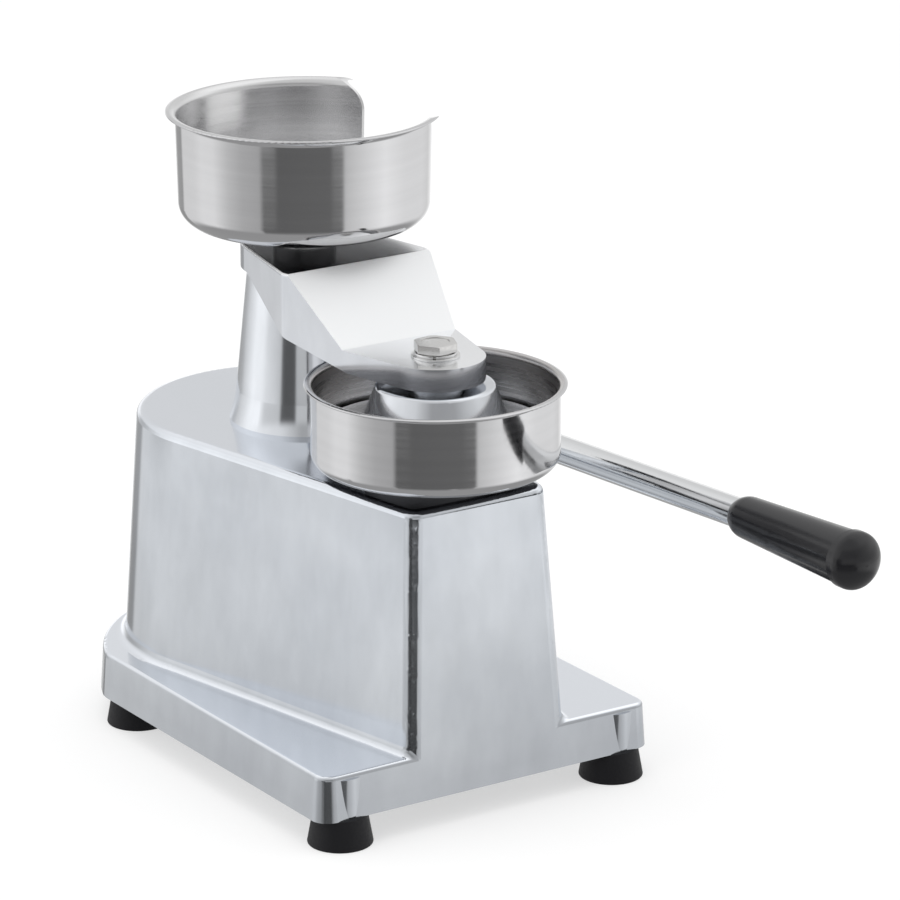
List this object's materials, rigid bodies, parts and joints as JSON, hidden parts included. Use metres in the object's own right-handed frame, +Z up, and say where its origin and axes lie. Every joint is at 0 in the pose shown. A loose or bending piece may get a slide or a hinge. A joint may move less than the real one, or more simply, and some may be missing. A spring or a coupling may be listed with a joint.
{
  "type": "burger press",
  "caption": "Hand-lever burger press: tapered cast body on rubber feet, mould bowl, press head on a kite-shaped arm, and a paper dish above the column.",
  "frame": {"origin": "on the table, midway between the four feet", "axes": "+X to the side with the lever, +Y to the rear, where the column stands, +Z up"},
  "size_m": [0.2301, 0.4839, 0.3468],
  "materials": {
    "cast_aluminium": "polished casting",
    "stainless": "polished spun sheet",
    "chrome": "bright plated",
    "black_grip": "gloss moulding",
    "rubber": "matt",
    "zinc_steel": "zinc plated",
    "bronze": "turned"
  },
  "bodies": {
    "frame": {"housing": "cast_aluminium", "column": "cast_aluminium", "lower_guide_bush": "bronze", "upper_guide_bush": "bronze", "foot_front_left": "rubber", "foot_front_right": "rubber", "foot_rear_left": "rubber", "foot_rear_right": "rubber", "foot_washers": "zinc_steel", "foot_screws": "zinc_steel", "shaft_bush_right": "bronze", "shaft_bush_left": "bronze", "bowl_seat": "cast_aluminium", "seat_screws": "zinc_steel", "mould_bowl": "stainless", "bowl_screws": "zinc_steel", "ejector_bush": "bronze"},
    "lever": {"cross_shaft": "chrome", "lifting_fork": "zinc_steel", "fork_pin": "zinc_steel", "shaft_clip": "zinc_steel", "shaft_thrust_washer": "zinc_steel", "lever_hub": "chrome", "hub_pin": "zinc_steel", "shaft_end_washer": "zinc_steel", "shaft_end_screw": "zinc_steel", "lever_rod": "chrome", "rod_lock_nut": "chrome", "lever_grip": "black_grip"},
    "plunger": {"plunger_shaft": "chrome", "cross_pin": "zinc_steel", "pin_clips": "zinc_steel", "lifting_beam": "zinc_steel", "beam_screw": "zinc_steel", "arm_thrust_washer": "zinc_steel", "swing_arm": "cast_aluminium", "arm_top_washer": "zinc_steel", "dish_spacer": "zinc_steel", "paper_dish": "stainless", "dish_washer": "zinc_steel", "dish_screw": "zinc_steel", "press_head": "cast_aluminium", "head_spacer": "zinc_steel", "head_washer": "zinc_steel", "head_lock_washer": "zinc_steel", "head_bolt": "zinc_steel"},
    "ejector": {"ejector_plate": "stainless", "ejector_stem": "stainless"}
  },
  "joints": [
    {"name": "lever_turn", "type": "hinge", "parent": "frame", "child": "lever", "pos_m": [0.104, 0.0945, 0.154], "axis": [-1, 0, 0], "range_deg": [0, 72.5]},
    {"name": "plunger_lift", "type": "slide", "parent": "frame", "child": "plunger", "axis": [0, 0, 1], "range_m": [0, 0.04252]},
    {"name": "ejector_lift", "type": "slide", "parent": "frame", "child": "ejector", "axis": [0, 0, 1], "range_m": [0, 0.032]}
  ],
  "couplings": [
    {"joint": "plunger_lift", "follows": "lever_turn", "m_per_rad": 0.0336},
    {"joint": "ejector_lift", "follows": "lever_turn", "m_per_rad": 0.025287}
  ]
}
